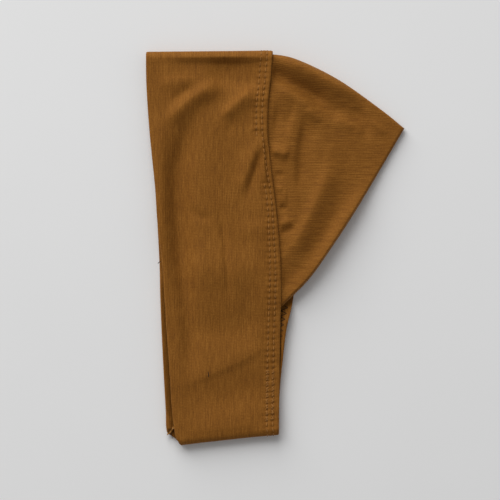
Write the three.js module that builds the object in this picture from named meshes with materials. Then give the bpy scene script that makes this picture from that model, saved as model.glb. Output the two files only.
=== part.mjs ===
// A band cap: a wide band of doubled jersey sewn into a loop, with a soft crown pouch stitched under
// its back edge. It lies flat on its side, folded at the middle of the head: the forehead fold at +Y,
// the nape fold at -Y, the face opening at -X and the tip of the crown at +X. The cloth rests on the
// plane z = 0.
// Millimetres, +Z up. The origin is on that plane, under the middle of the folded cap.
import * as THREE from "three";

// Driving dimensions
const BAND_WALL = 1.8; // two plies of jersey
const CROWN_WALL = 1.0; // one ply of jersey
const SEAM_LAP = 8; // how far the crown's edge runs in under the band, past both rows of stitches
const LAP_GAP = 0.35; // between the band and whatever lies inside it
const FOREHEAD_FOLD = { front: 125.2, back: 125.9 }; // y of the fold, at the band's two edges
const NAPE_FOLD = { front: -125.9, back: -119.4 };
const FRONT_EDGE_NOSE = 0.9; // the front edge is the folded side of the doubled cloth, so it is round
const BACK_EDGE_NOSE = 0.4; // the back edge is a pressed hem, so it is nearly square
const SEAM_RISE = { from: 0.66, to: 0.9 }; // where the top layer climbs to the seam, by share of the width

// Mesh counts
const UNDER_STEPS = 17;
const TOP_STEPS = 43;
const FOLD_STEPS = 8;
const BAND_COLUMNS = 17;
const CROWN_SECTIONS = 40;
const CROWN_TOP_STEPS = 15;
const CROWN_UNDER_STEPS = 11;
const OUTLINE_SAMPLES = 240;

// The band seen from above, a row for each station from the nape fold to the forehead fold.
// The four edges are x of the top layer's front and back, and x of the under layer's front and back.
const BAND_PLAN = [
  { y: -126.0, topFront: -60.8, topBack: 2.3, underFront: -60.8, underBack: 2.3 },
  { y: -123.0, topFront: -62.4, topBack: 2.3, underFront: -63.4, underBack: 2.3 },
  { y: -120.5, topFront: -63.4, topBack: 2.3, underFront: -67.4, underBack: 2.3 },
  { y: -118.0, topFront: -64.1, topBack: 2.3, underFront: -69.1, underBack: 2.2 },
  { y: -104.0, topFront: -65.8, topBack: 2.4, underFront: -70.0, underBack: 2.2 },
  { y: -86.0, topFront: -67.0, topBack: 2.7, underFront: -71.0, underBack: 3.2 },
  { y: -71.0, topFront: -68.0, topBack: 2.9, underFront: -71.8, underBack: 4.8 },
  { y: -52.0, topFront: -69.4, topBack: 3.2, underFront: -72.7, underBack: 7.1 },
  { y: -31.0, topFront: -70.7, topBack: 3.5, underFront: -73.5, underBack: 11.6 },
  { y: -10.0, topFront: -72.1, topBack: 3.3, underFront: -74.1, underBack: 11.2 },
  { y: 17.0, topFront: -75.2, topBack: 1.3, underFront: -75.5, underBack: 9.2 },
  { y: 37.0, topFront: -76.5, topBack: -1.0, underFront: -76.6, underBack: 7.2 },
  { y: 56.0, topFront: -78.4, topBack: -3.4, underFront: -78.4, underBack: 5.2 },
  { y: 73.0, topFront: -80.1, topBack: -4.9, underFront: -80.1, underBack: 3.4 },
  { y: 91.5, topFront: -81.5, topBack: -4.7, underFront: -81.5, underBack: 1.2 },
  { y: 107.0, topFront: -82.3, topBack: -3.1, underFront: -82.3, underBack: -0.8 },
  { y: 126.0, topFront: -82.5, topBack: -1.6, underFront: -82.5, underBack: -1.6 },
];

// How high the top layer stands over the plane at each station: at its front edge, over its middle,
// and at the seam, where the crown's two edges lie inside it.
const BAND_LOFT = [
  { y: -126.0, front: 8.4, middle: 8.4, seam: 8.4 },
  { y: -104.0, front: 8.4, middle: 8.6, seam: 8.6 },
  { y: -60.0, front: 8.5, middle: 9.1, seam: 9.8 },
  { y: -30.0, front: 8.6, middle: 9.3, seam: 10.8 },
  { y: 60.0, front: 8.8, middle: 9.4, seam: 10.8 },
  { y: 104.0, front: 9.0, middle: 9.6, seam: 10.8 },
  { y: 126.0, front: 9.4, middle: 10.2, seam: 10.8 },
];

// The soft folds in the top layer of the band, a row for each: a bowed line from start through via to end,
// how far it stands above (or, if negative, dips below) the cloth beside it, and half its width.
const BAND_FOLDS = [
  { start: [-31.5, 112], via: [-50, 101], end: [-66, 84], rise: 1.5, reach: 5.5 },
  { start: [-26, 102], via: [-60, 90], end: [-65, 44], rise: -1.0, reach: 5.5 },
  { start: [-65, 48], via: [-66, 12], end: [-60, -38], rise: -0.9, reach: 5.5 },
  { start: [-76, 100], via: [-73, 30], end: [-67, -70], rise: 0.8, reach: 5.0 },
  { start: [-14, 104], via: [-24, 98], end: [-32, 86], rise: 0.9, reach: 5.0 },
  { start: [-14, 66], via: [-16, 52], end: [-21, 32], rise: -1.0, reach: 4.5 },
  { start: [-56, -24], via: [-30, -34], end: [-14, -38], rise: -0.5, reach: 12 },
  { start: [-10, -60], via: [-30, -80], end: [-58, -88], rise: -0.5, reach: 8 },
];

// The sagittal outline of the crown: along the top of the head to the tip, then down the back of the head.
const CROWN_TOP_LINE = [
  [-10.5, 123.3],
  [-1.5, 123.5],
  [14, 120.2],
  [40.2, 107.5],
  [67.7, 88.3],
  [82.5, 76.4],
];
const CROWN_BACK_LINE = [
  [82.5, 76.4],
  [51.7, 24.3],
  [30.6, -7.7],
  [21, -20.5],
  [11.7, -30.1],
];
const CROWN_MOUTH = { first: 117.2, lastTop: -44, lastUnder: -38 }; // y of the sewn edge's two ends
const TIP_SHARE = 0.45; // the tip's place among the sections, by length along the outline

// The closed edge of the crown, by share of the way along its outline: its height, and the radius it
// turns on.
const CROWN_EDGE = [
  { share: 0.0, height: 5.4, turn: 3.2 },
  { share: 0.05, height: 5.4, turn: 3.2 },
  { share: 0.2, height: 4.2, turn: 4.4 },
  { share: 0.45, height: 1.8, turn: 2.6 },
  { share: 0.75, height: 2.6, turn: 3.6 },
  { share: 0.93, height: 4.2, turn: 4.0 },
  { share: 1.0, height: 5.2, turn: 3.4 },
];
const CROWN_LOFT = { beside: 10.2, tip: 4.6, run: 92 }; // heights beside the band and at the tip, run apart
const CROWN_SETTLE = 11; // how soon the under layer of the crown comes down to the plane, past the band

// The soft folds in the top layer of the crown, with the same columns as the band's.
const CROWN_FOLDS = [
  { start: [0, 115.5], via: [17, 108], end: [34, 95], rise: -1.6, reach: 4.5 },
  { start: [2, 106], via: [17, 97], end: [31, 78], rise: 1.0, reach: 4.5 },
  { start: [17, 88], via: [15, 66], end: [14, 31], rise: -0.9, reach: 3.8 },
  { start: [36, 60], via: [29, 28], end: [6, -1], rise: 1.3, reach: 5.5 },
  { start: [41, 57], via: [33, 26], end: [11, -12], rise: -0.9, reach: 5.0 },
  { start: [56, 44], via: [38, 14], end: [17, -20], rise: 1.0, reach: 6.0 },
];

// The closing seam's allowance, inside the band along the nape fold: x and y of its two long edges,
// and its underside. Its front end is cut slanting, and sticks out past the band's edge.
const NAPE_SEAM_THICK = 2.2;
const NAPE_SEAM_REACH = 0.8; // how far in its rounded long edges begin to thin
const NAPE_SEAM_ROWS = [
  { low: [-69.3, -120.4], high: [-69.0, -118.4], under: 2.15 },
  { low: [-66.6, -120.9], high: [-67.0, -116.6], under: 2.15 },
  { low: [-63.6, -121.1], high: [-64.2, -114.8], under: 2.15 },
  { low: [-58.0, -120.8], high: [-58.4, -114.4], under: 2.15 },
  { low: [-30.0, -118.0], high: [-30.4, -111.6], under: 2.15 },
  { low: [0.9, -114.8], high: [0.6, -108.4], under: 2.15 },
];

const JERSEY_COLOUR = 0x845622;
const THREAD_COLOUR = 0x7a4e1e;

const mix = (a, b, share) => a + (b - a) * share;

const clamped = (value) => Math.min(1, Math.max(0, value));

// Climbs smoothly from 0 to 1 while value goes from 0 to 1.
function eased(value) {
  const share = clamped(value);
  return share * share * (3 - 2 * share);
}

// The quarter-round climb of a turned edge: 0 on the edge itself, and 1 from one radius in.
const rounded = (share) => Math.sqrt(1 - (1 - clamped(share)) ** 2);

// A column of a table at a place between its rows, on a smooth curve through them.
function columnAt(table, key, column, place) {
  const last = table.length - 1;
  if (place <= table[0][key]) return table[0][column];
  if (place >= table[last][key]) return table[last][column];
  const row = table.findIndex((r) => r[key] > place) - 1;
  const slope = (i) => {
    const before = table[Math.max(0, i - 1)];
    const after = table[Math.min(last, i + 1)];
    return (after[column] - before[column]) / (after[key] - before[key]);
  };
  const span = table[row + 1][key] - table[row][key];
  const t = (place - table[row][key]) / span;
  const ease = t * t * (3 - 2 * t);
  const leave = (t ** 3 - 2 * t ** 2 + t) * span * slope(row);
  const arrive = (t ** 3 - t ** 2) * span * slope(row + 1);
  return mix(table[row][column], table[row + 1][column], ease) + leave + arrive;
}

// How much the folds of a table lift the cloth at x, y.
function foldLift(folds, x, y) {
  let lift = 0;
  for (const fold of folds) {
    const line = new THREE.QuadraticBezierCurve(
      new THREE.Vector2(...fold.start),
      new THREE.Vector2(...fold.via),
      new THREE.Vector2(...fold.end),
    );
    let nearest = Infinity;
    let along = 0;
    const steps = 24;
    for (let i = 0; i <= steps; i++) {
      const distance = line.getPoint(i / steps).distanceTo(new THREE.Vector2(x, y));
      if (distance < nearest) {
        nearest = distance;
        along = i / steps;
      }
    }
    const fade = 0.35 + 0.65 * Math.sin(Math.PI * along); // each fold is weaker towards its ends
    lift += fold.rise * fade * Math.exp(-((nearest / fold.reach) ** 2));
  }
  return lift;
}

// Places from 0 to a length, in steps that are shorter near each crowd. A crowd has a place, how many
// more steps there are to the millimetre there than elsewhere, and how far it reaches.
function crowdedPlaces(length, steps, crowds) {
  const countTo = (place) =>
    crowds.reduce((sum, { at, more, reach }) => {
      const fall = Math.exp(-Math.abs(place - at) / reach);
      return sum + more * reach * (place < at ? fall : 2 - fall);
    }, place);
  const first = countTo(0);
  const whole = countTo(length) - first;
  return Array.from({ length: steps + 1 }, (_, i) => {
    const wanted = first + (whole * i) / steps;
    let low = 0;
    let high = length;
    for (let halving = 0; halving < 40; halving++) {
      const middle = (low + high) / 2;
      if (countTo(middle) < wanted) low = middle;
      else high = middle;
    }
    return (low + high) / 2;
  });
}

const bandEdge = (edge, y) => columnAt(BAND_PLAN, "y", edge, y);

// How far across the top layer x lies, from 0 at the front edge to 1 at the back edge.
function topShare(x, y) {
  const front = bandEdge("topFront", y);
  return (x - front) / (bandEdge("topBack", y) - front);
}

const foreheadFold = (across) => mix(FOREHEAD_FOLD.front, FOREHEAD_FOLD.back, across);
const napeFold = (across) => mix(NAPE_FOLD.front, NAPE_FOLD.back, across);

// The band's height without its folds.
function bandLoft(across, y) {
  const front = columnAt(BAND_LOFT, "y", "front", y);
  const middle = columnAt(BAND_LOFT, "y", "middle", y);
  const seam = columnAt(BAND_LOFT, "y", "seam", y);
  const panel = mix(front, middle, eased(across / 0.4));
  return mix(panel, seam, eased((across - SEAM_RISE.from) / (SEAM_RISE.to - SEAM_RISE.from)));
}

// The band's height with its folds, which die out at the seam and where the cloth turns over at each end.
function bandTop(x, y) {
  const across = clamped(topShare(x, y));
  const clear = Math.min(y - napeFold(across), foreheadFold(across) - y);
  const calm = eased((clear - 5) / 8) * (1 - eased((across - 0.72) / 0.14));
  return bandLoft(across, y) + calm * foldLift(BAND_FOLDS, x, y);
}

// A closed body from rings of points. The rings join into a loop, or the first and last are closed by
// a cap. Each ring runs along the outer side of the cloth and back along the inner side, with the same
// number of points on each.
function solidFromRings(rings, isLoop) {
  const corners = rings[0].length;
  const faces = [];
  const at = (ring, corner) => (ring % rings.length) * corners + (corner % corners);
  const quad = (a, b, c, d) => faces.push(a, c, b, a, d, c);
  const spans = isLoop ? rings.length : rings.length - 1;
  for (let ring = 0; ring < spans; ring++) {
    for (let corner = 0; corner < corners; corner++) {
      quad(at(ring, corner), at(ring, corner + 1), at(ring + 1, corner + 1), at(ring + 1, corner));
    }
  }
  if (!isLoop) {
    const last = rings.length - 1;
    for (let corner = 0; corner < corners / 2 - 1; corner++) {
      const back = corners - 1 - corner;
      quad(at(0, back), at(0, back - 1), at(0, corner + 1), at(0, corner));
      quad(at(last, corner), at(last, corner + 1), at(last, back - 1), at(last, back));
    }
  }
  const geometry = new THREE.BufferGeometry();
  const numbers = rings.flat().flatMap((point) => point.toArray());
  geometry.setAttribute("position", new THREE.Float32BufferAttribute(numbers, 3));
  geometry.setIndex(faces);
  geometry.computeVertexNormals();
  return geometry;
}

// The band is a flat loop of doubled cloth: the under layer on the plane, the forehead fold, the top
// layer and the nape fold. A ring goes round the cloth's own thickness at each station of the loop.
function bandGeometry() {
  const shares = Array.from({ length: BAND_COLUMNS }, (_, i) => i / (BAND_COLUMNS - 1));
  const turnOf = (across, y) => bandLoft(across, y) / 2;

  // Where the middle of the cloth's edge lies, inside the round of the nose.
  const inset = (front, back, across) => mix(front + FRONT_EDGE_NOSE, back - BACK_EDGE_NOSE, across);

  // One point on the outer side and one on the inner side, for a station of one layer.
  function layerPair(isTop, progress, across) {
    const low = napeFold(across) + turnOf(across, -126);
    const high = foreheadFold(across) - turnOf(across, 126);
    const y = mix(low, high, progress);
    const layer = isTop ? "top" : "under";
    const x = inset(bandEdge(layer + "Front", y), bandEdge(layer + "Back", y), across);
    const outer = isTop ? bandTop(x, y) : 0;
    const inner = isTop ? outer - BAND_WALL : BAND_WALL;
    return [new THREE.Vector3(x, y, outer), new THREE.Vector3(x, y, inner)];
  }

  // The same for a step of the turn at one end. The angle goes from straight down to straight up.
  function foldPair(isForehead, angle, across) {
    const end = isForehead ? 1 : -1;
    const foldY = isForehead ? foreheadFold(across) : napeFold(across);
    const turn = turnOf(across, end * 126);
    const centreY = foldY - end * turn;
    const share = (1 + Math.sin(angle)) / 2;
    const front = mix(bandEdge("underFront", centreY), bandEdge("topFront", centreY), share);
    const back = mix(bandEdge("underBack", centreY), bandEdge("topBack", centreY), share);
    const atFold = Math.cos(angle); // the edges close in on the fold's own corners
    const x = inset(
      mix(front, bandEdge("topFront", foldY), atFold),
      mix(back, bandEdge("topBack", foldY), atFold),
      across,
    );
    return [turn, turn - BAND_WALL].map(
      (radius) =>
        new THREE.Vector3(
          x,
          centreY + end * radius * Math.cos(angle),
          turn + radius * Math.sin(angle),
        ),
    );
  }

  // A ring: the outer side from front to back, the back edge, the inner side from back to front, and
  // the front edge.
  function ringOf(pairAt) {
    const pairs = shares.map(pairAt);
    const outer = pairs.map((pair) => pair[0]);
    const inner = pairs.map((pair) => pair[1]);
    const last = BAND_COLUMNS - 1;
    const nose = (pair, reach) => {
      const middle = pair[0].clone().lerp(pair[1], 0.5);
      middle.x += reach;
      return middle;
    };
    const backNose = nose(pairs[last], BACK_EDGE_NOSE);
    const frontNose = nose(pairs[0], -FRONT_EDGE_NOSE);
    return [...outer, backNose, ...inner.reverse(), frontNose];
  }

  // The stations of a layer, as shares of the way from the nape to the forehead, crowded towards the
  // two folds.
  function stations(steps, more) {
    const crowds = [
      { at: 0, more, reach: 4 },
      { at: 240, more: more / 2, reach: 8 },
    ];
    return crowdedPlaces(240, steps, crowds).map((place) => place / 240);
  }

  const rings = [];
  for (const progress of stations(UNDER_STEPS, 12)) {
    rings.push(ringOf((across) => layerPair(false, progress, across)));
  }
  for (let i = 1; i < FOLD_STEPS; i++) {
    const angle = -Math.PI / 2 + (Math.PI * i) / FOLD_STEPS;
    rings.push(ringOf((across) => foldPair(true, angle, across)));
  }
  for (const progress of stations(TOP_STEPS, 2).reverse()) {
    rings.push(ringOf((across) => layerPair(true, progress, across)));
  }
  for (let i = 1; i < FOLD_STEPS; i++) {
    const angle = Math.PI / 2 - (Math.PI * i) / FOLD_STEPS;
    rings.push(ringOf((across) => foldPair(false, angle, across)));
  }
  return solidFromRings(rings, true);
}

// The crown is a pouch of single cloth, closed along its outline and open towards the band. A section
// runs from the sewn edge of its top layer out to the outline, turns over, and runs back to the sewn
// edge of its under layer.
function crownGeometry() {
  const curve = (points) => new THREE.SplineCurve(points.map((p) => new THREE.Vector2(...p)));
  const topLine = curve(CROWN_TOP_LINE);
  const backLine = curve(CROWN_BACK_LINE);
  const outlineAt = (share) =>
    share < TIP_SHARE
      ? topLine.getPointAt(share / TIP_SHARE)
      : backLine.getPointAt((share - TIP_SHARE) / (1 - TIP_SHARE));
  const outline = Array.from({ length: OUTLINE_SAMPLES + 1 }, (_, i) =>
    outlineAt(i / OUTLINE_SAMPLES),
  );

  // How far a point lies in from the outline.
  function insetOf(point) {
    let nearest = Infinity;
    for (let i = 0; i < OUTLINE_SAMPLES; i++) {
      const along = outline[i + 1].clone().sub(outline[i]);
      const offset = point.clone().sub(outline[i]);
      const share = clamped(offset.dot(along) / along.lengthSq());
      nearest = Math.min(nearest, offset.sub(along.multiplyScalar(share)).length());
    }
    return nearest;
  }

  // The outline moved in by the wall, for the inner side of the cloth.
  function innerOutlineAt(share) {
    const step = 0.004;
    const before = outlineAt(Math.max(0, share - step));
    const after = outlineAt(Math.min(1, share + step));
    const along = after.sub(before).normalize();
    return outlineAt(share).add(new THREE.Vector2(along.y, -along.x).multiplyScalar(CROWN_WALL));
  }

  // The height of the crown's top layer. Under the band it keeps below the band's wall.
  function topHeight(x, y) {
    const back = bandEdge("topBack", y);
    const past = x - back;
    const lap = bandTop(Math.min(x, back), y) - BAND_WALL - LAP_GAP;
    const own = mix(CROWN_LOFT.beside, CROWN_LOFT.tip, eased(past / CROWN_LOFT.run));
    return mix(lap, own, eased(past / 14)) + eased(past / 6) * foldLift(CROWN_FOLDS, x, y);
  }

  // The height of its under layer, which lies on the band's and then comes down to the plane.
  function underHeight(x, y) {
    const past = x - bandEdge("underBack", y) - 0.6;
    return (BAND_WALL + LAP_GAP) * (1 - eased(past / CROWN_SETTLE));
  }

  // A point of the cloth: its outer side, or the inner side if wall is the cloth's thickness.
  function clothPoint(share, point, isTop, wall) {
    const height = columnAt(CROWN_EDGE, "share", "height", share);
    const turn = columnAt(CROWN_EDGE, "share", "turn", share) - wall;
    const climb = rounded(Math.max(0, insetOf(point) - wall) / turn);
    const face = isTop ? topHeight(point.x, point.y) - wall : underHeight(point.x, point.y) + wall;
    return new THREE.Vector3(point.x, point.y, mix(height, face, climb));
  }

  const sewnTop = (share) => {
    const y = mix(CROWN_MOUTH.first, CROWN_MOUTH.lastTop, share);
    return new THREE.Vector2(bandEdge("topBack", y) - SEAM_LAP, y);
  };
  const sewnUnder = (share) => {
    const y = mix(CROWN_MOUTH.first, CROWN_MOUTH.lastUnder, share);
    return new THREE.Vector2(bandEdge("underBack", y) - SEAM_LAP, y);
  };

  // Points along a section from a sewn edge out to the turn, crowded past the seam and towards the turn.
  function sectionPoints(sewn, edge, steps) {
    const length = sewn.distanceTo(edge);
    const crowds = [
      { at: SEAM_LAP + 4, more: 1.5, reach: 6 },
      { at: length, more: 7, reach: 1.5 },
    ];
    return crowdedPlaces(length, steps, crowds).map((place) =>
      sewn.clone().lerp(edge, place / length),
    );
  }

  // One side of the cloth along a section.
  function side(share, wall) {
    const edge = wall > 0 ? innerOutlineAt(share) : outlineAt(share);
    const top = sectionPoints(sewnTop(share), edge, CROWN_TOP_STEPS);
    const under = sectionPoints(sewnUnder(share), edge, CROWN_UNDER_STEPS).slice(0, -1);
    return [
      ...top.map((point) => clothPoint(share, point, true, wall)),
      ...under.reverse().map((point) => clothPoint(share, point, false, wall)),
    ];
  }

  const rings = [];
  for (let i = 0; i <= CROWN_SECTIONS; i++) {
    const share = i / CROWN_SECTIONS;
    rings.push([...side(share, 0), ...side(share, CROWN_WALL).reverse()]);
  }
  return solidFromRings(rings, false);
}

// The seam that closes the band's loop: four plies of cloth, lying inside on the under layer.
function napeSeamGeometry() {
  const rings = NAPE_SEAM_ROWS.map(({ low, high, under }) => {
    const width = new THREE.Vector2(...high).distanceTo(new THREE.Vector2(...low));
    const shares = [0, NAPE_SEAM_REACH / width, 1 - NAPE_SEAM_REACH / width, 1];
    const rises = [0.25, 1, 1, 0.25]; // the long edges are thinner than the middle
    const place = (i, side) =>
      new THREE.Vector3(
        mix(low[0], high[0], shares[i]),
        mix(low[1], high[1], shares[i]),
        under + (NAPE_SEAM_THICK / 2) * (1 + side * rises[i]),
      );
    const top = shares.map((_, i) => place(i, 1));
    const bottom = shares.map((_, i) => place(i, -1));
    return [...top, ...bottom.reverse()];
  });
  return solidFromRings(rings, false);
}

function piece(name, geometry, material) {
  const mesh = new THREE.Mesh(geometry, material);
  mesh.name = name;
  return mesh;
}

const jersey = new THREE.MeshStandardMaterial({ color: JERSEY_COLOUR, roughness: 0.9, metalness: 0 });
const overlocked = new THREE.MeshStandardMaterial({ color: THREAD_COLOUR, roughness: 0.9, metalness: 0 });

const bandCap = new THREE.Group();
bandCap.add(piece("band", bandGeometry(), jersey));
bandCap.add(piece("crown", crownGeometry(), jersey));
bandCap.add(piece("nape_seam", napeSeamGeometry(), overlocked));

export default bandCap;
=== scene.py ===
# %% [markdown]
# # A jersey band cap, lying folded flat
#
# The real cap is two pieces of stretchy cotton jersey. A wide band, doubled over along its front edge,
# makes the loop that sits round the forehead, and a soft crown pouch is held under its back edge by two
# rows of stitches. Here it lies on its side, folded at the forehead and at the nape, and is seen from
# straight above.
#
# This notebook loads the solids that fix where each piece goes, and then makes the cloth that is seen.
# Every length in the tables is in millimetres, and each mesh is turned to metres when it is made.

import math
from collections import namedtuple

import bpy
import numpy as np
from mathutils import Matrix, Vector


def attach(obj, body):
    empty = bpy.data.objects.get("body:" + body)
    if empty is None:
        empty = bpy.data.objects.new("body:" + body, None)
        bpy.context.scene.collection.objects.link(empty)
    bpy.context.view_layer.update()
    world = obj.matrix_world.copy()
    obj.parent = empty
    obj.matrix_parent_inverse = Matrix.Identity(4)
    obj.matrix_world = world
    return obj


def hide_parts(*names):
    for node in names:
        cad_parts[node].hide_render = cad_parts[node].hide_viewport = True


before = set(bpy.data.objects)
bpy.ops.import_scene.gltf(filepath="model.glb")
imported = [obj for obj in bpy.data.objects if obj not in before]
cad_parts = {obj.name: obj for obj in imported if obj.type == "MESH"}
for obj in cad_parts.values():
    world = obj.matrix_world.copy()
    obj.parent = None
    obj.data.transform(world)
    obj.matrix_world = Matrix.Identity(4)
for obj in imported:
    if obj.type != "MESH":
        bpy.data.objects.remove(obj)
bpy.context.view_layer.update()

# %% [markdown]
# ## Helpers for numbers that change along a line
#
# Cloth has few straight lines. Its outline, its height and its seams are given by short tables, with a
# smooth curve through each column, so that a few rows are enough.

# %% Curves through tables
MM = 0.001


def mix(a, b, share):
    return a + (b - a) * share


def eased(value):
    """Climbs smoothly from 0 to 1 while value goes from 0 to 1."""
    share = np.clip(value, 0, 1)
    return share * share * (3 - 2 * share)


def column_at(table, column, places, key="y"):
    """A column of a table at places between its rows, on a smooth curve through them."""
    keys = np.array(table[key], float)
    values = np.array(table[column], float)
    last = len(keys) - 1
    before = np.maximum(np.arange(last + 1) - 1, 0)
    after = np.minimum(np.arange(last + 1) + 1, last)
    slopes = (values[after] - values[before]) / (keys[after] - keys[before])
    row = np.clip(np.searchsorted(keys, places, side="right") - 1, 0, last - 1)
    span = keys[row + 1] - keys[row]
    t = np.clip((places - keys[row]) / span, 0, 1)
    leave = (t**3 - 2 * t**2 + t) * span * slopes[row]
    arrive = (t**3 - t**2) * span * slopes[row + 1]
    return mix(values[row], values[row + 1], t * t * (3 - 2 * t)) + leave + arrive


def smooth_path(points, steps=12):
    """A smooth curve through points, with that many steps between each two."""
    points = np.array(points, float)
    padded = np.vstack([2 * points[0] - points[1], points, 2 * points[-1] - points[-2]])
    t = np.linspace(0, 1, steps, endpoint=False)[:, None]
    pieces = []
    for a, b, c, d in zip(padded, padded[1:], padded[2:], padded[3:]):
        bend = (2 * a - 5 * b + 4 * c - d) * t**2 + (3 * b - a - 3 * c + d) * t**3
        pieces.append(b + ((c - a) * t + bend) / 2)
    return np.vstack([*pieces, points[-1:]])


def run_along(points):
    """How far along a line each of its points lies."""
    return np.concatenate([[0], np.cumsum(np.linalg.norm(np.diff(points, axis=0), axis=1))])


def nearest_on(path, spots):
    """How spots lie to a line: their distance, their side (above 0 on the left), and the share along it."""
    run = run_along(path)
    best = np.full(spots.shape[:-1], np.inf)
    side, along = np.zeros_like(best), np.zeros_like(best)
    for passed, start, end in zip(run, path, path[1:]):
        step, offset = end - start, spots - start
        share = np.clip(offset @ step / (step @ step), 0, 1)
        distance = np.linalg.norm(offset - share[..., None] * step, axis=-1)
        closer = distance < best
        best = np.where(closer, distance, best)
        side = np.where(closer, step[0] * offset[..., 1] - step[1] * offset[..., 0], side)
        along = np.where(closer, passed + share * np.linalg.norm(step), along)
    return best, side, along / run[-1]


def read_along(places, run, values):
    """The rows of values at places between them, where run says how far along each row lies."""
    return np.stack([np.interp(places, run, values[:, k]) for k in range(values.shape[1])], axis=-1)


def crowded_places(length, steps, crowds):
    """Places from 0 to length, closer near each crowd: (place, how many more steps, reach)."""
    fine = np.linspace(0, length, 4000)
    density = 1 + sum(more * np.exp(-np.abs(fine - at) / reach) for at, more, reach in crowds)
    count = np.concatenate([[0], np.cumsum((density[1:] + density[:-1]) / 2)])
    return np.interp(np.linspace(0, count[-1], steps + 1), count, fine)


def soft_noise(x, y, size, seed):
    """A gentle random field, between -1 and 1, whose bumps are about size apart."""
    cells, shift = 64, 200
    grid = np.random.default_rng(seed).uniform(-1, 1, (cells, cells))
    u, v = np.asarray(x) / size + shift, np.asarray(y) / size + shift
    i, j = np.floor(u).astype(int), np.floor(v).astype(int)
    s, t = eased(u - i), eased(v - j)
    low, high = (
        mix(grid[i % cells, k % cells], grid[(i + 1) % cells, k % cells], s) for k in (j, j + 1)
    )
    return mix(low, high, t)


def unevenness(rows, x, y):
    """What limp cloth has beside its folds. A row is (height, size, seed)."""
    return sum(height * soft_noise(x, y, size, seed) for height, size, seed in rows)


# %% [markdown]
# ## The shape of the band
#
# From above, the band is a long strip with four edges: the front and back edge of its top layer, and the
# same of its under layer, which has slipped a little to the left and to the right near the nape. Nearly
# the same numbers made the solids of the frame, so the cloth lands where they are.

# %% Sizes and tables of the band
BAND_WALL = 1.8  # two plies of jersey
CROWN_WALL = 1.0  # one ply, with the air in its pile
LAP_GAP = 0.35  # between the band and what lies inside it
SEAM_LAP = 8  # how far the crown runs in under the band
FRONT_NOSE = 0.9  # the front edge is the folded side of the doubled cloth, so it is round
BACK_NOSE = 0.4  # the back edge is a pressed hem, so it is nearly square
FOREHEAD_FOLD = (125.2, 125.9)  # y of the fold at the front edge and at the back edge
NAPE_FOLD = (-125.9, -119.4)
HALF_LENGTH = 126.0  # from the middle of the band to either fold
LAYER = 240  # about the length of one layer, between the turns of its two folds
NOMINAL_WIDTH = 78.0
PANEL_RISE = 0.4  # the share of the width over which the top layer climbs from its front edge
SEAM_RISE = (0.66, 0.9)  # where the top layer climbs to the seam, as shares of the width

BAND_PLAN = {
    "y": [-126, -123, -120.5, -118, -104, -86, -71, -52, -31, -10, 17, 37, 56, 73, 91.5, 107, 126],
    "top_front": [-60.8, -62.4, -63.4, -64.1, -65.8, -67, -68, -69.4, -70.7, -72.1, -75.2, -76.5,
                  -78.4, -80.1, -81.5, -82.3, -82.5],
    "top_back": [2.3, 2.3, 2.3, 2.3, 2.4, 2.7, 2.9, 3.2, 3.5, 3.3, 1.3, -1, -3.4, -4.9, -4.7, -3.1, -1.6],
    "under_front": [-60.8, -62.6, -65.8, -69.1, -70, -71, -71.8, -72.7, -73.5, -74.1, -75.5, -76.6,
                    -78.4, -80.1, -81.5, -82.3, -82.5],
    "under_back": [2.3, 2.3, 2.3, 2.2, 2.2, 3.2, 4.8, 7.1, 11.6, 11.2, 9.2, 7.2, 5.2, 3.4, 1.2, -0.8, -1.6],
}
BAND_LOFT = {
    "y": [-126, -104, -60, -30, 60, 104, 126],
    "front": [8.4, 8.4, 8.5, 8.6, 8.8, 9.0, 9.4],
    "middle": [8.4, 8.6, 9.1, 9.3, 9.4, 9.6, 10.2],
    "seam": [8.4, 8.6, 9.8, 10.8, 10.8, 10.8, 10.8],
}

# %% [markdown]
# ## Folds as drawn lines
#
# A soft fold is a ridge or a groove along a curved line, higher in its middle and dying out at its ends.
# So each fold is one row: the line seen from above, how far it rises (or dips), and how far it reaches to
# the left and to the right of somebody walking along it. A short reach on one side makes a crease, and
# the same reach on both a roll.

# %% The folds of the band
Fold = namedtuple("Fold", "rise left right path")  # all in mm
FOLD_FAR = 3  # times its reach, beyond which a fold isn't felt
FOLD_GROW = 0.3  # the share of its length over which a fold grows, at each end
FOLD_END = 0.15  # the share of its rise that is left at its ends

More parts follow.
